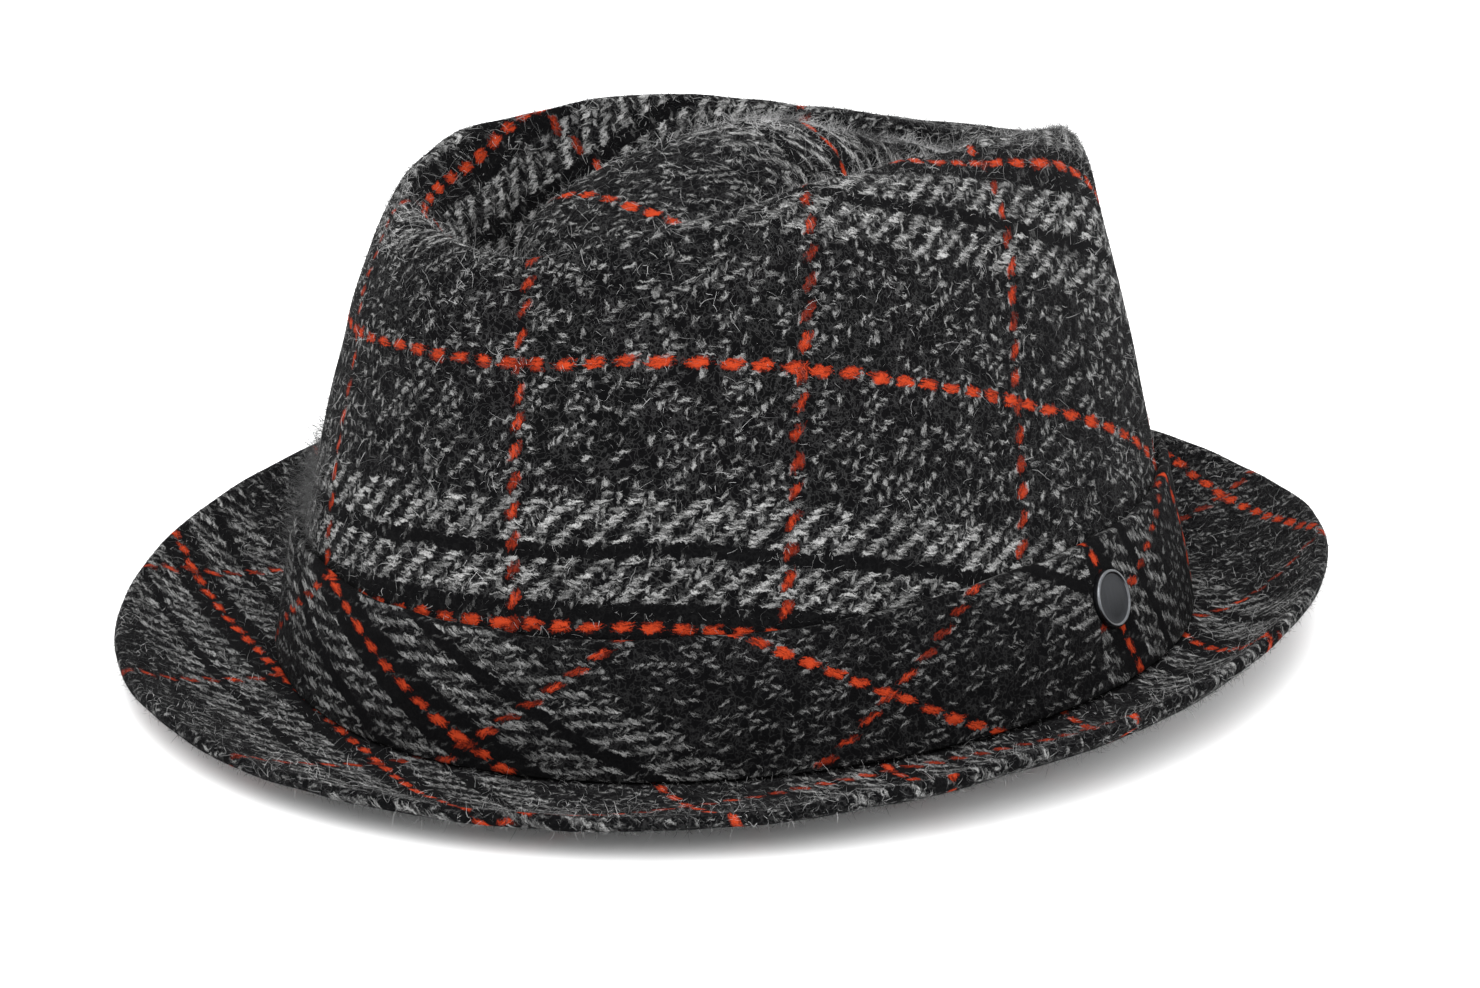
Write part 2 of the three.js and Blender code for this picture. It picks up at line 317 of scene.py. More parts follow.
def ring_faces(rows, columns, flip=False, closed_rows=False):
    """Quads of a grid of closed rings and, for each, its rows and columns as chart indices."""
    r = np.arange(rows if closed_rows else rows - 1)
    c = np.arange(columns)
    rr, cc = np.meshgrid(r, c, indexing="ij")
    rr = rr.ravel()
    cc = cc.ravel()
    next_row = (rr + 1) % rows
    corner_rows = np.stack([rr, rr, next_row, next_row], -1)
    corner_columns = np.stack([cc, cc + 1, cc + 1, cc], -1)
    chart_rows = np.stack([rr, rr, rr + 1, rr + 1], -1)
    if flip:
        corner_rows = corner_rows[:, ::-1]
        corner_columns = corner_columns[:, ::-1]
        chart_rows = chart_rows[:, ::-1]
    faces = corner_rows * columns + corner_columns % columns
    return faces, chart_rows, corner_columns


# Materials from small formulas of node sockets


class Field:
    """A value in a node tree that can be used in a formula."""

    def __init__(self, tree, socket):
        self.tree = tree
        self.socket = socket

    def math(self, operation, *others):
        node = self.tree.nodes.new("ShaderNodeMath")
        node.operation = operation
        for slot, value in zip(node.inputs, (self, *others)):
            if isinstance(value, Field):
                self.tree.links.new(value.socket, slot)
            else:
                slot.default_value = value
        return Field(self.tree, node.outputs[0])

    def __add__(self, other):
        return self.math("ADD", other)

    __radd__ = __add__

    def __sub__(self, other):
        return self.math("SUBTRACT", other)

    def __rsub__(self, other):
        return self.math("MULTIPLY", -1.0).math("ADD", other)

    def __mul__(self, other):
        return self.math("MULTIPLY", other)

    __rmul__ = __mul__

    def __truediv__(self, other):
        return self.math("DIVIDE", other)

    def floor(self):
        return self.math("FLOOR")

    def wrap(self, period):
        return self - (self / period).floor() * period

    def less(self, edge):
        return self.math("LESS_THAN", edge)

    def more(self, edge):
        return self.math("GREATER_THAN", edge)

    def near(self, middle, reach):
        return (self - middle).math("ABSOLUTE").less(reach)

    def power(self, exponent):
        return self.math("POWER", exponent)

    def clamp(self):
        node = self.math("ADD", 0.0)
        node.socket.node.use_clamp = True
        return node


def noise_fields(tree, vector, scale, detail=2.0, roughness=0.5):
    node = tree.nodes.new("ShaderNodeTexNoise")
    node.inputs["Scale"].default_value = scale
    node.inputs["Detail"].default_value = detail
    node.inputs["Roughness"].default_value = roughness
    tree.links.new(vector, node.inputs["Vector"])
    split = tree.nodes.new("ShaderNodeSeparateColor")
    tree.links.new(node.outputs["Color"], split.inputs[0])
    return Field(tree, node.outputs[0]), [Field(tree, out) for out in split.outputs]


def combine(tree, x, y, z=0.0):
    node = tree.nodes.new("ShaderNodeCombineXYZ")
    for slot, value in zip(node.inputs, (x, y, z)):
        if isinstance(value, Field):
            tree.links.new(value.socket, slot)
        else:
            slot.default_value = value
    return node.outputs[0]


def random_at(tree, x, y, salt):
    node = tree.nodes.new("ShaderNodeTexWhiteNoise")
    node.noise_dimensions = "3D"
    tree.links.new(combine(tree, x, y, salt), node.inputs["Vector"])
    return Field(tree, node.outputs["Value"])


def mix(tree, share, first, second):
    node = tree.nodes.new("ShaderNodeMix")
    node.data_type = "RGBA"
    node.clamp_factor = True
    slots = (node.inputs["Factor"], node.inputs[6], node.inputs[7])
    for slot, value in zip(slots, (share, first, second)):
        if isinstance(value, Field):
            tree.links.new(value.socket, slot)
        elif isinstance(value, tuple):
            slot.default_value = (*value, 1.0)
        elif isinstance(value, (int, float)):
            slot.default_value = value
        else:
            tree.links.new(value, slot)
    return node.outputs[2]


GROUND = (0.0015, 0.0015, 0.0017)
SHADE = (0.004, 0.004, 0.0043)
LIGHT_YARN = (0.34, 0.34, 0.335)
STRAND = (0.3, 0.3, 0.3)
ORANGE_YARN = (0.33, 0.036, 0.011)
DEEP_ORANGE = (0.17, 0.012, 0.004)


def streaks(field, middle, fineness):
    """Thin curly lines where a noise field crosses a level."""
    return (1 - (field - middle).math("ABSOLUTE") * fineness).clamp()


def tweed(name, light):
    """Twill of black, grey and orange yarns, drawn from the thread counts in the UV layer.

    The pattern repeats every 72 wefts: two light stripes on each side of an orange line, then
    a peppered ground. Orange lines cross every 36 threads both ways.
    """
    material = bpy.data.materials.new(name)
    material.use_nodes = True
    tree = material.node_tree
    shader = tree.nodes["Principled BSDF"]
    uv = tree.nodes.new("ShaderNodeUVMap")
    uv.uv_map = "threads"
    place = tree.nodes.new("ShaderNodeTexCoord").outputs["Object"]
    split = tree.nodes.new("ShaderNodeSeparateXYZ")
    tree.links.new(uv.outputs[0], split.inputs[0])
    u = Field(tree, split.outputs[0])
    v = Field(tree, split.outputs[1])

    # Threads wander a little in the cloth
    _, sway = noise_fields(tree, place, 60.0, 2.0)
    _, jitter = noise_fields(tree, place, 480.0, 4.0, 0.72)
    fuzz, fine = noise_fields(tree, place, 3300.0, 3.0, 0.75)
    _, hairs = noise_fields(tree, place, 330.0, 2.0, 0.55)
    u = u + (sway[0] - 0.5) * 1.5 + (jitter[0] - 0.5) * 2.2
    v = v + (sway[1] - 0.5) * 1.5 + (jitter[1] - 0.5) * 1.8
    _, weft_hair = noise_fields(tree, combine(tree, u * 0.55, v * 4.2), 1.0, 2.0, 0.6)
    _, warp_hair = noise_fields(tree, combine(tree, u * 4.2, v * 0.6, 9.0), 1.0, 2.0, 0.6)

    # Floats of the weft, one in each repeat of the twill
    weft_u = u + (weft_hair[0] - 0.5) * 3.4
    weft_v = v + (weft_hair[1] - 0.5) * 0.9
    j = weft_v.floor()
    weft_along = (weft_u - j - 1).wrap(TWILL) - TWILL / 2
    weft_side = weft_v - j - 0.5 - weft_along * 0.3
    weft_round = (weft_side.math("ABSOLUTE") / 0.47).power(2.0)
    weft_random = random_at(tree, ((weft_u - j - 1) / TWILL).floor(), j, 7.0)
    weft_shift = weft_along + (weft_random * 7.0).wrap(1.0) * 1.3 - 0.65
    weft_reach = 0.95 + (weft_random * 13.0).wrap(1.0) * 0.6
    weft_dash = (1.15 - (weft_shift.math("ABSOLUTE") / weft_reach).power(3.0) - weft_round).clamp()
    weft_fleck = (1 - (weft_along.math("ABSOLUTE") / 0.72).power(2.0) - weft_round * 1.3).clamp()

    # Floats of the warp between them
    warp_u = u + (warp_hair[0] - 0.5) * 0.9
    warp_v = v + (warp_hair[1] - 0.5) * 2.8
    i = warp_u.floor()
    warp_along = (warp_v - i + 2).wrap(TWILL) - TWILL / 2
    warp_side = warp_u - i - 0.5 - warp_along * 0.25
    warp_round = (warp_side.math("ABSOLUTE") / 0.42).power(2.0)
    warp_fleck = (1 - (warp_along.math("ABSOLUTE") / 0.78).power(2.0) - warp_round * 1.2).clamp()

    # Light stripes and peppered ground
    row = j.wrap(2 * LINE_SPACING)
    fold = LINE_SPACING - (row - LINE_SPACING).math("ABSOLUTE")
    weft_light = (fold.near(6.5, 3.1) + fold.near(14.5, 3.1)).clamp()
    pepper = fold.more(17.5)
    warp_random = random_at(tree, i, ((warp_v - i + 2) / TWILL).floor(), 11.0)
    weft_pepper = (j.wrap(TWILL).near(2.0, 0.5) * 0.22 + weft_random).more(0.6)
    warp_pepper = (i.wrap(TWILL).near(2.0, 0.5) * 0.22 + warp_random).more(0.64)
    weft_strand = ((weft_hair[2] - 0.37) * 5.5).clamp()
    warp_strand = ((warp_hair[2] - 0.37) * 5.5).clamp()
    clump = ((jitter[2] - 0.3) * 2.6).clamp()
    weft_bright = weft_light * (0.04 + weft_random * 0.7 + clump * 0.45) * weft_dash
    weft_bright = weft_bright + pepper * weft_pepper * (0.1 + weft_random * 0.55) * weft_fleck
    warp_bright = warp_pepper * (0.05 + warp_random * 0.6) * warp_fleck
    warp_bright = warp_bright * (0.3 + (pepper + weft_light) * 0.7)
    bright = (weft_bright * weft_strand).math("MAXIMUM", warp_bright * warp_strand)

    # Orange lines
    half_way = LINE_SPACING / 2
    off_v = (weft_v + half_way - 0.5).wrap(LINE_SPACING) - half_way
    off_u = (warp_u + half_way - 0.5).wrap(LINE_SPACING) - half_way
    dash_u = (weft_u + 3).wrap(TWILL) - TWILL / 2
    dash_v = (warp_v + 2).wrap(TWILL) - TWILL / 2
    weft_across = (off_v - dash_u * 0.1).math("ABSOLUTE") / 0.92
    warp_across = (off_u - dash_v * 0.42).math("ABSOLUTE") / 0.8
    weft_orange = (1 - weft_across.power(2.4) - (dash_u.math("ABSOLUTE") / 1.5).power(3.0)).clamp()
    warp_orange = (1 - warp_across.power(2.4) - (dash_v.math("ABSOLUTE") / 1.45).power(3.0)).clamp()
    weft_orange = weft_orange * (0.3 + weft_strand * 0.6) * (0.6 + weft_random * 0.5)
    warp_orange = warp_orange * (0.15 + warp_strand * 0.6) * (0.3 + warp_random * 0.6)
    orange = weft_orange.math("MAXIMUM", warp_orange)

    # Colour of the yarns and of the stray hairs over them
    ragged = ((fuzz - 0.35) * 3.5).clamp()
    curls = streaks(hairs[0], 0.5, 40.0) + streaks(hairs[1], 0.47, 40.0)
    curls = (curls + streaks(hairs[2], 0.53, 40.0)).clamp()
    # Painted shade: a light argument below 1 dims the light yarns here and the stray hairs below, making
    # darker copies of this same cloth
    soft = bright * (0.4 + ragged * 0.9) * light
    base = mix(tree, (fine[0] * 1.2 - 0.2).clamp(), GROUND, SHADE)
    grey = mix(tree, soft.clamp(), base, LIGHT_YARN)
    strand_tone = 0.008 + (pepper + weft_light) * (0.016 + ragged * 0.05) + bright * 0.6
    strands = curls * strand_tone * light
    grey = mix(tree, strands.clamp(), grey, STRAND)
    orange_tone = mix(tree, (ragged * 0.4 + orange * 1.1 - 0.1).clamp(), DEEP_ORANGE, ORANGE_YARN)
    colour = mix(tree, (orange * 2.0).clamp(), grey, orange_tone)
    tree.links.new(colour, shader.inputs["Base Color"])

    # Relief
    bump = tree.nodes.new("ShaderNodeBump")
    bump.inputs["Strength"].default_value = 0.7
    bump.inputs["Distance"].default_value = 0.0004
    relief = weft_dash * 0.4 + fuzz * 0.8 + jitter[2] * 0.6 + orange * 0.4
    tree.links.new(relief.socket, bump.inputs["Height"])
    tree.links.new(bump.outputs[0], shader.inputs["Normal"])
    shader.inputs["Roughness"].default_value = 1.0
    shader.inputs["Specular IOR Level"].default_value = 0.015
    shader.inputs["Sheen Weight"].default_value = 0.005
    shader.inputs["Sheen Roughness"].default_value = 0.5
    return material


# One tweed in three copies: the brim's light yarns and hairs are dimmed to 0.72 and the band's to 0.62 of
# the crown's, as painted shade
CROWN_CLOTH = tweed("crown_tweed", 1.0)
BRIM_CLOTH_PAINTED_SHADE = tweed("brim_tweed_painted_shade", 0.72)
BAND_CLOTH_PAINTED_SHADE = tweed("band_tweed_painted_shade", 0.62)


# Crown


# How much one side of the pressed ridge stands over the even shape, every 15 degrees
RIDGE_SWAY = {
    -180: -1.6, -165: -2.8, -150: -4.2, -135: -3.7, -120: -1.2, -105: 0.3, -90: 1.4, -75: 1.3,
    -60: 0.4, -45: -1.4, -30: -2.6, -15: -1.4, 0: -0.4, 20: -1.2, 35: 0.0, 60: 0.8, 75: 1.6,
    90: -0.4, 110: 0.0, 180: -1.6,
}


def ridge_sway(angles, spans):
    """Upward shift of the ridge and its shoulders, fading to nothing at the side and groove."""
    keys = sorted(RIDGE_SWAY)
    turned = np.mod(np.asarray(angles) + 180.0, 360.0) - 180.0
    lift = np.interp(turned, keys, [RIDGE_SWAY[k] for k in keys])
    spans = np.asarray(spans)
    near = np.where(spans < 3, (3 - spans) / 1.8, (spans - 3) / 2.2)
    weight = 0.5 + 0.5 * np.cos(math.pi * np.clip(near, 0, 1))
    return weight[:, None] * lift[None, :]


def crown_relief(grid, normals, angles, spans):
    """Small hand-pressed unevenness along the outward direction."""
    grid = grid.copy()
    grid[..., 2] += ridge_sway(angles, spans)
    depth = 0.55 * waves(grid, 46.0, 5) + 0.22 * waves(grid, 17.0, 6)
    fade = np.clip((np.asarray(spans) - 0.9) / 0.8, 0, 1)[:, None]
    return grid + normals * (depth * fade)[..., None]


def make_crown():
    columns = 360
    angles = SIDE_SEAM - 360.0 + np.arange(columns) * 360.0 / columns
    counts = [24, 22, 22, 16, 16, 18, 16]
    spans = np.concatenate([i + np.arange(n) / n for i, n in enumerate(counts)])
    spans = np.append(spans, [SPANS - 0.02])
    outer = crown_grid(angles, spans)
    normals = grid_normals(outer)
    outer = crown_relief(outer, normals, angles, spans)
    rows = len(spans)

    chart_angles = np.append(angles, angles[-1] + 360.0 / columns)
    ridge_row = int(np.argmin(np.abs(spans - 4.95)))
    side_u, side_v = side_chart(chart_angles, spans[: ridge_row + 1])
    turn = math.radians(TIP_TURN)
    flat = np.concatenate([outer, outer[:, :1]], 1)
    depth = arc(flat, 0)
    reach = depth[-1][None, :] - depth
    middle = np.array([0.0, HEAD_Y + ISLAND_SET_BACK])
    away = flat[..., :2] - middle
    plan = away / np.maximum(np.linalg.norm(away, axis=-1, keepdims=True), 1e-6)
    spread = TIP_SLOPE_SHARE * reach + (1 - TIP_SLOPE_SHARE) * np.linalg.norm(away, axis=-1)
    tip = middle + plan * spread[..., None]
    dx = tip[..., 0] - TIP_AT[0]
    dy = tip[..., 1] - TIP_AT[1]
    tip_u = (dx * math.cos(turn) + dy * math.sin(turn)) / WARP_PITCH + 0.5
    tip_v = (dy * math.cos(turn) - dx * math.sin(turn)) / TIP_PITCH + 36.5

    faces, chart_rows, chart_columns = ring_faces(rows, columns)
    is_side = chart_rows.max(1) <= ridge_row
    uv = np.empty((len(faces), 4, 2))
    inside = ~is_side
    uv[is_side, :, 0] = side_u[chart_rows[is_side], chart_columns[is_side]]
    uv[is_side, :, 1] = side_v[chart_rows[is_side], chart_columns[is_side]]
    uv[inside, :, 0] = tip_u[chart_rows[inside], chart_columns[inside]]
    uv[inside, :, 1] = tip_v[chart_rows[inside], chart_columns[inside]]

    points = outer.reshape(-1, 3)
    cap_uv = np.stack([tip_u[-1], tip_v[-1]], -1)
    top = len(points)
    cap = [[(rows - 1) * columns + c, (rows - 1) * columns + (c + 1) % columns, top] for c in range(columns)]
    cap_corner = [[cap_uv[c], cap_uv[c + 1], cap_uv[:-1].mean(0)] for c in range(columns)]

    inner_step = 3
    inner_rows = 8
    swing = 3.0
    slide = 0.25
    inner_angles = angles[::inner_step]
    inner_spans = np.concatenate([i + np.arange(inner_rows) / inner_rows for i in range(SPANS)])
    shell = crown_grid(inner_angles, inner_spans)
    ahead = crown_grid(inner_angles + swing, inner_spans)
    behind = crown_grid(inner_angles - swing, inner_spans)
    further = crown_grid(inner_angles, np.minimum(inner_spans + slide, SPANS))
    nearer = crown_grid(inner_angles, np.maximum(inner_spans - slide, 0))
    inward = np.cross(ahead - behind, further - nearer)
    inward[0, :, 2] = 0
    inward /= np.linalg.norm(inward, axis=-1, keepdims=True)
    shell = shell - inward * CROWN_WALL
    shell[..., 2] += ridge_sway(inner_angles, inner_spans)
    inner_columns = len(inner_angles)
    inner_faces, _, _ = ring_faces(len(inner_spans), inner_columns, flip=True)
    start = top + 1
    inner_top = start + shell.shape[0] * inner_columns
    summit = np.array([0.0, HEAD_Y + ISLAND_SET_BACK, crown_profile(np.array([0.0]))[0, 8, 2]])
    all_points = np.concatenate([points, [summit], shell.reshape(-1, 3), [summit - [0, 0, CROWN_WALL]]])
    last = start + (len(inner_spans) - 1) * inner_columns
    inner_cap = [[last + (c + 1) % inner_columns, last + c, inner_top] for c in range(inner_columns)]
    hem = []
    for c in range(inner_columns):
        a = start + c
        b = start + (c + 1) % inner_columns
        outer_ring = [(c * inner_step + k) % columns for k in range(inner_step + 1)]
        hem.append([a, b, *outer_ring[::-1]])

    mesh = bpy.data.meshes.new("crown_cloth")
    polygons = [*faces.tolist(), *cap, *(inner_faces + start).tolist(), *inner_cap, *hem]
    mesh.from_pydata((all_points * MM).tolist(), [], polygons)
    mesh.polygons.foreach_set("use_smooth", [True] * len(mesh.polygons))
    layer = mesh.uv_layers.new(name="threads")
    loops = np.zeros((len(mesh.loops), 2), np.float32)
    used = len(faces) * 4
    loops[:used] = uv.reshape(-1, 2)
    loops[used : used + len(cap) * 3] = np.array(cap_corner).reshape(-1, 2)
    corner = np.array([loop.vertex_index for loop in mesh.loops][used + len(cap) * 3 :])
    rest = all_points[corner]
    loops[used + len(cap) * 3 :, 0] = np.degrees(np.arctan2(rest[:, 0], -rest[:, 1])) / WARP_PITCH + 18
    loops[used + len(cap) * 3 :, 1] = rest[:, 2] / WEFT_PITCH + 18
    layer.data.foreach_set("uv", loops.ravel())
    mesh.materials.append(CROWN_CLOTH)
    mesh.update()
    obj = bpy.data.objects.new("crown_cloth", mesh)
    bpy.context.scene.collection.objects.link(obj)
    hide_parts("crown")
    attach(obj, "root")
    return outer, normals


crown_outer, crown_normals = make_crown()


# Brim


def brim_plan(angle, share):
    foot = CROWN_WALL + PIECE_GAP + BAND_WALL
    reach = BRIM_REACH * at_angle(BRIM_EDGE["reach"], angle)
    inner = foot_point(angle, 0.0)
    t = np.radians(angle)
    out = (foot + reach)[..., None] * np.stack([np.sin(t), -np.cos(t)], -1)
    return inner + out * share[..., None]


def brim_height(angle, share):
    foot = CROWN_WALL + PIECE_GAP + BAND_WALL
    width = foot + BRIM_REACH * at_angle(BRIM_EDGE["reach"], angle)
    flat = (foot + BRIM_FLAT) / width
    curl = np.maximum(share - flat, 0) / (1 - flat)
    lift = BRIM_LIFT * at_angle(BRIM_EDGE["lift"], angle)
    return root_height(angle) - BRIM_WALL / 2 + lift * curl**BRIM_CURL


def make_brim():
    columns = 360
    angles = -180.0 + np.arange(columns) * 360.0 / columns
    shares = np.linspace(0, 1, 34)
    slide = 0.01
    half = BRIM_WALL / 2
    mids = []
    slopes = []
    for share in shares:
        s = np.full(columns, share)
        plan = brim_plan(angles, s)
        rise = brim_height(angles, s + slide) - brim_height(angles, s - slide)
        run = brim_plan(angles, s + slide) - brim_plan(angles, s - slide)
        length = np.linalg.norm(run, axis=-1)
        mids.append(np.concatenate([plan, brim_height(angles, s)[:, None]], -1))
        slopes.append((run / length[:, None], np.arctan2(rise, length)))
    mids = np.array(mids)
    upper = []
    lower = []
    for row, (out, slope) in zip(mids, slopes):
        lean = np.concatenate([-out * np.sin(slope)[:, None], np.cos(slope)[:, None]], -1)
        upper.append(row + lean * half)
        lower.append(row - lean * half)
    out, slope = slopes[-1]
    lean = np.concatenate([-out * np.sin(slope)[:, None], np.cos(slope)[:, None]], -1)
    forward = np.concatenate([out * np.cos(slope)[:, None], np.sin(slope)[:, None]], -1)
    edge = []
    for k in range(1, 8):
        turn = math.pi * k / 8
        edge.append(mids[-1] + half * (lean * math.cos(turn) + forward * math.sin(turn)))
    loop = np.array([*upper, *edge, *lower[::-1]])
    normals = -grid_normals(loop)
    uneven = 0.3 * waves(loop, 40.0, 11) + 0.16 * waves(loop, 14.0, 12)
    fade = np.clip((np.concatenate([shares, np.ones(7), shares[::-1]]) - 0.3) / 0.3, 0, 1)
    loop[..., 2] += uneven * fade[:, None]
    loop[..., 2] = np.maximum(loop[..., 2], 0.0)
    rows = len(loop)

    chart = np.concatenate([loop, loop[:1]], 0)
    chart = np.concatenate([chart, chart[:, :1]], 1)
    turned = np.append(angles, 180.0)
    t = np.radians(turned)
    outward = np.stack([np.sin(t), -np.cos(t)], -1)
    laid = foot_point(turned, 0.0) + outward * arc(chart, 0)[..., None]
    turn = math.radians(BRIM_TURN)
    along = laid[..., 0] * math.cos(turn) - laid[..., 1] * math.sin(turn)
    across = laid[..., 0] * math.sin(turn) + laid[..., 1] * math.cos(turn)
    u = (along + BRIM_AT[0]) / BRIM_PITCH[0] + 0.5
    v = (across + BRIM_AT[1]) / BRIM_PITCH[1] + 0.5

    faces, chart_rows, chart_columns = ring_faces(rows, columns, flip=True, closed_rows=True)
    uv = np.stack([u[chart_rows, chart_columns], v[chart_rows, chart_columns]], -1)
    obj = add_mesh("brim_cloth", loop.reshape(-1, 3), faces, uv.reshape(-1, 2), BRIM_CLOTH_PAINTED_SHADE)
    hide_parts("brim")
    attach(obj, "root")
    return loop, normals


brim_loop, brim_normals = make_brim()


# Band


def side_at_height(angles, height, outwards):
    """Points off the crown's side at a height over its foot, at each angle."""
    spans = np.linspace(0, 2, 120)
    grid = crown_grid(angles, spans)
    step = 1.5
    ahead = crown_grid(angles + step, spans)
    behind = crown_grid(angles - step, spans)
    normal = np.cross(ahead - behind, np.gradient(grid, axis=0))
    normal /= np.linalg.norm(normal, axis=-1, keepdims=True)
    rise = grid[..., 2] - grid[:1, :, 2]
    result = np.empty((len(angles), 3))
    directions = np.empty((len(angles), 3))
    for c in range(len(angles)):
        for k in range(3):
            result[c, k] = np.interp(height, rise[:, c], grid[:, c, k])
            directions[c, k] = np.interp(height, rise[:, c], normal[:, c, k])
    directions /= np.linalg.norm(directions, axis=-1, keepdims=True)
    return result + directions * outwards, directions


def band_threads(lines, run, height):
    run_share, height_share, start, spacing = lines
    return LINE_SPACING * (run_share * run + height_share * height - start) / spacing


def make_band():
    columns = 480
    angles = BAND_JOIN - 360.0 + np.arange(columns) * 360.0 / columns
    wall = BAND_WALL
    section = [(0.0, 0.9), (0.4, 1.0)]
    section += [(h, 1.0) for h in np.linspace(1.6, BAND_HEIGHT - 1.3, 22)]
    for k in range(1, 6):
        turn = math.pi / 2 * k / 6
        section.append((BAND_HEIGHT - 1.2 + 1.2 * math.sin(turn), 0.5 + 0.5 * math.cos(turn)))
    section += [(BAND_HEIGHT, 0.35), (BAND_HEIGHT - 0.5, 0.02), (BAND_HEIGHT - 6, 0.0), (0.0, 0.0)]
    rings = []
    for height, out in section:
        swell = 0.35 * math.sin(math.pi * min(max(height / BAND_HEIGHT, 0), 1)) * (out > 0.3)
        ring, _ = side_at_height(angles, min(height, BAND_HEIGHT), PIECE_GAP + wall * out + swell)
        rings.append(ring)
    loop = np.array(rings)
    shares = np.array([min(h / BAND_HEIGHT, 1) for h, _ in section])
    outer = np.array([o > 0.3 for _, o in section])
    normals = grid_normals(loop)
    ripple = 0.25 * waves(loop, 30.0, 21) + 0.1 * waves(loop, 9.0, 22)
    loop[..., 2] += (0.45 * waves(loop, 55.0, 23) * (shares > 0.9)[:, None])
    loop += normals * (ripple * (outer * np.clip(shares * 6, 0, 1))[:, None])[..., None]
    rows = len(loop)

    chart_angles = np.append(angles, BAND_JOIN)
    foot = np.concatenate([loop[10], loop[10][:1]])
    s = arc(foot[None], 1)[0]
    s = s - np.interp(0.0, chart_angles, s)
    chart = np.concatenate([loop, loop[:1]], 0)
    chart = np.concatenate([chart, chart[:, :1]], 1)
    h = arc(chart, 0) + BAND_FOOT_TURN
    s = np.broadcast_to(s[None, :], h.shape)
    v = band_threads(BAND_WEFT, s, h) + 0.5
    u = band_threads(BAND_WARP, s, h) + 0.5
    at = np.broadcast_to(chart_angles[None, :], h.shape)
    faces, chart_rows, chart_columns = ring_faces(rows, columns, closed_rows=True)
    uv = np.stack([u[chart_rows, chart_columns], v[chart_rows, chart_columns]], -1)
    behind_join = at[chart_rows, chart_columns].max(1) <= -180.0
    s2 = s[chart_rows, chart_columns] + s[0, -1] - s[0, 0]
    h2 = h[chart_rows, chart_columns]
    uv[behind_join, :, 0] = band_threads(JOIN_WARP, s2, h2)[behind_join]
    uv[behind_join, :, 1] = band_threads(JOIN_WEFT, s2, h2)[behind_join] + 0.5
    obj = add_mesh("band_cloth", loop.reshape(-1, 3), faces, uv.reshape(-1, 2), BAND_CLOTH_PAINTED_SHADE)
    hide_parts("hat_band")
    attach(obj, "root")


make_band()


# Badge


def gunmetal():
    material = bpy.data.materials.new("gunmetal")
    material.use_nodes = True
    tree = material.node_tree
    shader = tree.nodes["Principled BSDF"]
    place = tree.nodes.new("ShaderNodeTexCoord").outputs["Object"]
    stretch = tree.nodes.new("ShaderNodeMapping")
    stretch.inputs["Scale"].default_value = (1.0, 40.0, 1.0)
    tree.links.new(place, stretch.inputs[0])
    streak, fields = noise_fields(tree, stretch.outputs[0], 260.0, 3.0, 0.6)
    colour = mix(tree, ((streak - 0.3) * 1.6).clamp(), (0.016, 0.017, 0.019), (0.048, 0.05, 0.055))
    tree.links.new(colour, shader.inputs["Base Color"])
    shader.inputs["Metallic"].default_value = 1.0
    rough = 0.3 + fields[0] * 0.25
    tree.links.new(rough.socket, shader.inputs["Roughness"])
    bump = tree.nodes.new("ShaderNodeBump")
    bump.inputs["Strength"].default_value = 0.25
    bump.inputs["Distance"].default_value = 0.00005
    tree.links.new(streak.socket, bump.inputs["Height"])
    tree.links.new(bump.outputs[0], shader.inputs["Normal"])
    return material


def bright_rim():
    material = bpy.data.materials.new("bright_rim")
    material.use_nodes = True
    tree = material.node_tree
    shader = tree.nodes["Principled BSDF"]
    place = tree.nodes.new("ShaderNodeTexCoord").outputs["Object"]
    streak, _ = noise_fields(tree, place, 900.0, 3.0, 0.6)
    colour = mix(tree, streak, (0.05, 0.052, 0.056), (0.15, 0.156, 0.165))
    tree.links.new(colour, shader.inputs["Base Color"])
    shader.inputs["Metallic"].default_value = 1.0
    shader.inputs["Roughness"].default_value = 0.28
    return material


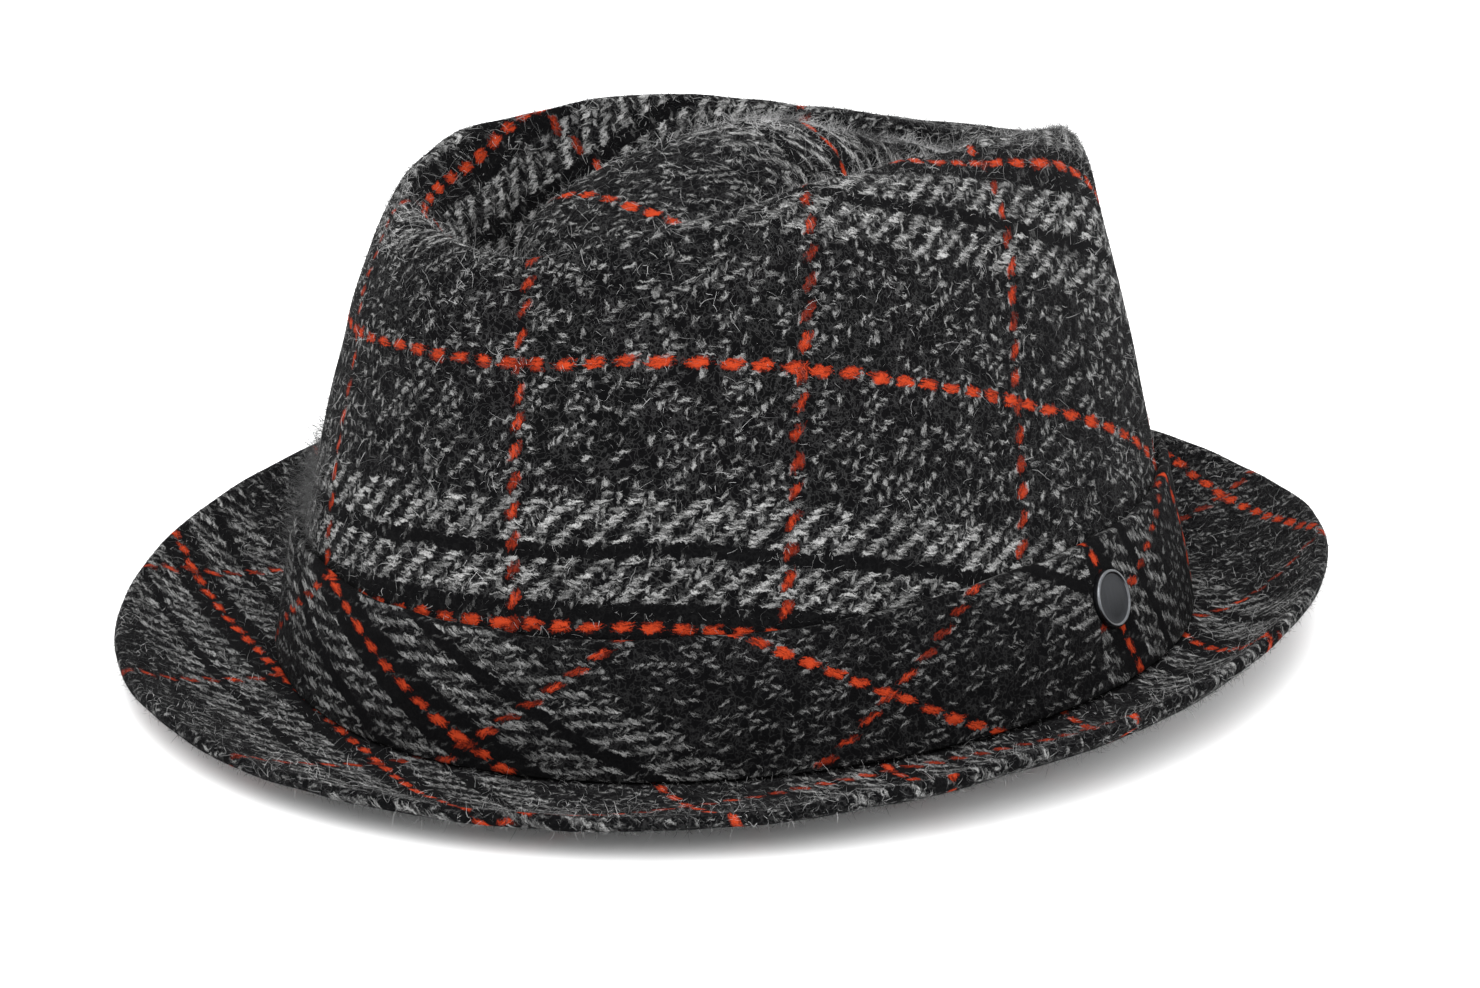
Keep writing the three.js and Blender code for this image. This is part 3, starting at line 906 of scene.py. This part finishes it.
def make_badge():
    angle = np.array([BADGE_ANGLE])
    seat, out = side_at_height(angle, BAND_HEIGHT - BADGE_DROP, PIECE_GAP + BAND_WALL)
    seat = seat[0]
    out = out[0]
    radius = BADGE_DIAMETER / 2
    front = PIECE_GAP + BADGE_THICKNESS
    # Radius and height off the band, from the hidden back round the rim to the face's middle
    profile = [
        (radius - 1.6, -0.2),
        (radius - 0.35, 0.05),
        (radius - 0.05, 0.3),
        (radius, 0.7),
        (radius, front - 0.45),
        (radius - 0.08, front - 0.15),
        (radius - 0.28, front),
        (radius - 0.5, front + 0.02),
        (radius - 0.72, front - 0.08),
        (radius - 0.84, front - 0.3),
        (radius - 0.95, front - 0.33),
        (radius * 0.6, front - 0.27),
        (radius * 0.3, front - 0.23),
        (0.02, front - 0.22),
    ]
    sides = 96
    side = np.cross([0.0, 0.0, 1.0], out)
    side /= np.linalg.norm(side)
    up = np.cross(out, side)
    rings = []
    for r, h in profile:
        turn = np.arange(sides) * 2 * math.pi / sides
        ring = r * (np.cos(turn)[:, None] * side + np.sin(turn)[:, None] * up)
        rings.append(seat + out * h + ring)
    loop = np.array(rings)
    faces, _, _ = ring_faces(len(profile), sides)
    faces = faces.tolist()
    faces.append(list(range(sides))[::-1])
    faces.append([(len(profile) - 1) * sides + k for k in range(sides)])
    mesh = bpy.data.meshes.new("badge_disc")
    origin = seat * MM
    mesh.from_pydata(((loop.reshape(-1, 3) - seat) * MM).tolist(), [], faces)
    mesh.polygons.foreach_set("use_smooth", [True] * len(mesh.polygons))
    mesh.materials.append(gunmetal())
    mesh.materials.append(bright_rim())
    for polygon in mesh.polygons:
        row = polygon.index // sides
        polygon.material_index = 1 if 4 <= row <= 8 else 0
    mesh.update()
    obj = bpy.data.objects.new("badge_disc", mesh)
    obj.location = origin.tolist()
    bpy.context.scene.collection.objects.link(obj)
    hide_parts("badge")
    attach(obj, "root")


make_badge()


# Loose wool fibres


FLOOR_CLEARANCE = 0.3


def fibre_material(name, dark, light):
    material = bpy.data.materials.new(name)
    material.use_nodes = True
    tree = material.node_tree
    shader = tree.nodes["Principled BSDF"]
    place = tree.nodes.new("ShaderNodeTexCoord").outputs["Object"]
    tone, _ = noise_fields(tree, place, 120.0, 2.0)
    colour = mix(tree, ((tone - 0.35) * 3).clamp(), dark, light)
    tree.links.new(colour, shader.inputs["Base Color"])
    shader.inputs["Roughness"].default_value = 0.8
    shader.inputs["Sheen Weight"].default_value = 0.2
    return material


def make_fibres(name, grid, normals, count, length, width, stand, material):
    """Short curly ribbons, each leaning off the cloth by a share drawn from the stand range."""
    rows, columns = grid.shape[:2]
    r = RNG.integers(0, rows - 1, count)
    c = RNG.integers(0, columns, count)
    root = grid[r, c]
    out = normals[r, c]
    steps = 4
    wander = RNG.normal(size=(count, 3))
    wander -= out * np.sum(wander * out, -1, keepdims=True)
    wander /= np.linalg.norm(wander, axis=-1, keepdims=True)
    size = length * (0.45 + 1.3 * RNG.random(count) ** 3)
    lift = RNG.uniform(*stand, count)
    curl = RNG.normal(size=count) * 0.5
    points = [root - out * 0.1]
    direction = wander * (1 - lift[:, None]) + out * lift[:, None]
    side = np.cross(out, wander)
    for k in range(steps):
        direction = direction + side * curl[:, None] * 0.8 - out * 0.1 * (1 - stand[0])
        direction += RNG.normal(size=(count, 3)) * 0.22
        direction /= np.linalg.norm(direction, axis=-1, keepdims=True)
        points.append(points[-1] + direction * (size / steps)[:, None])
    points = np.array(points)
    points[..., 2] = np.maximum(points[..., 2], FLOOR_CLEARANCE)
    spin = RNG.normal(size=(count, 3))
    across = np.cross(direction, spin)
    across /= np.linalg.norm(across, axis=-1, keepdims=True)
    taper = np.array([1, 1, 0.85, 0.6, 0.25])[:, None, None]
    left = points + across[None] * taper * width / 2
    right = points - across[None] * taper * width / 2
    verts = np.stack([left, right], 2).transpose(1, 0, 2, 3).reshape(-1, 3)
    base = np.arange(count)[:, None] * 2 * (steps + 1)
    faces = []
    for k in range(steps):
        faces.append(np.concatenate([base + 2 * k, base + 2 * k + 1, base + 2 * k + 3, base + 2 * k + 2], 1))
    obj = add_mesh(name, verts, np.concatenate(faces), None, material)
    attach(obj, "root")


STRAY = fibre_material("stray_fibre", (0.012, 0.012, 0.013), (0.4, 0.4, 0.4))
NAP = fibre_material("nap_fibre", (0.006, 0.006, 0.0065), (0.03, 0.03, 0.03))
LYING = (0.1, 0.9)
UPRIGHT = (0.65, 1.0)
make_fibres("crown_fibres", crown_outer, crown_normals, 20000, 2.8, 0.075, LYING, STRAY)
make_fibres("crown_nap", crown_outer[:104], crown_normals[:104], 24000, 1.7, 0.07, UPRIGHT, NAP)
TUFT = (slice(10, 28), slice(106, 136))
make_fibres("tuft_nap", crown_outer[TUFT], crown_normals[TUFT], 2400, 5.5, 0.07, UPRIGHT, NAP)
make_fibres("brim_fibres", brim_loop, brim_normals, 14000, 2.4, 0.075, LYING, STRAY)
make_fibres("brim_nap", brim_loop[20:50], brim_normals[20:50], 12000, 1.3, 0.07, UPRIGHT, NAP)


# Stage, light and camera


def make_floor():
    mesh = bpy.data.meshes.new("floor")
    size = 6.0
    corners = [(-size, -size, 0), (size, -size, 0), (size, size, 0), (-size, size, 0)]
    mesh.from_pydata(corners, [], [(0, 1, 2, 3)])
    material = bpy.data.materials.new("floor_white")
    material.use_nodes = True
    shader = material.node_tree.nodes["Principled BSDF"]
    shader.inputs["Base Color"].default_value = (0.93, 0.93, 0.93, 1)
    shader.inputs["Roughness"].default_value = 0.9
    mesh.materials.append(material)
    obj = bpy.data.objects.new("floor", mesh)
    bpy.context.scene.collection.objects.link(obj)


# Places, aims and sizes in metres, powers in watts
LIGHTS = {
    "key": {"place": (1.05, -1.05, 1.7), "aim": (0, 0, 0.05), "size": 1.6, "power": 36.0},
    "top": {"place": (-0.2, 0.2, 1.9), "aim": (0, 0, 0.0), "size": 2.0, "power": 17.0},
    "left": {"place": (-1.5, -0.8, 0.9), "aim": (0, 0, 0.05), "size": 1.0, "power": 4.0},
    "right": {"place": (1.6, 0.9, 0.8), "aim": (0, 0, 0.05), "size": 1.0, "power": 6.0},
}
WORLD_STRENGTH = 1.7


def add_light(name, place, aim, size, power):
    data = bpy.data.lights.new(name, "AREA")
    data.shape = "DISK"
    data.size = size
    data.energy = power
    obj = bpy.data.objects.new(name, data)
    obj.location = place
    direction = np.array(aim) - np.array(place)
    obj.rotation_euler = Vector(direction).to_track_quat("-Z", "Y").to_euler()
    bpy.context.scene.collection.objects.link(obj)


PHOTO_WIDTH = 1480.0
FOCAL_PIXELS = 6500.0
CAMERA_AZIMUTH = 50.0
CAMERA_ELEVATION = 20.0
CAMERA_DISTANCE = 1.4


def make_camera():
    azimuth = math.radians(CAMERA_AZIMUTH)
    elevation = math.radians(CAMERA_ELEVATION)
    right = np.array([math.cos(azimuth), math.sin(azimuth), 0])
    back = np.array(
        [
            math.sin(azimuth) * math.cos(elevation),
            -math.cos(azimuth) * math.cos(elevation),
            math.sin(elevation),
        ]
    )
    target = right * 0.002 + np.array([0, 0, 0.032])
    data = bpy.data.cameras.new("camera")
    data.sensor_width = 36.0
    data.lens = data.sensor_width * FOCAL_PIXELS / PHOTO_WIDTH
    data.clip_start = 0.05
    data.clip_end = 50.0
    obj = bpy.data.objects.new("camera", data)
    obj.location = (target + back * CAMERA_DISTANCE).tolist()
    obj.rotation_euler = (math.pi / 2 - elevation, 0, azimuth)
    bpy.context.scene.collection.objects.link(obj)
    bpy.context.scene.camera = obj


make_floor()
make_camera()
for light_name, light in LIGHTS.items():
    add_light(light_name, **light)
world = bpy.data.worlds.new("studio")
world.use_nodes = True
world.node_tree.nodes["Background"].inputs[0].default_value = (1, 1, 1, 1)
world.node_tree.nodes["Background"].inputs[1].default_value = WORLD_STRENGTH
bpy.context.scene.world = world
bpy.context.scene.view_settings.view_transform = "Standard"
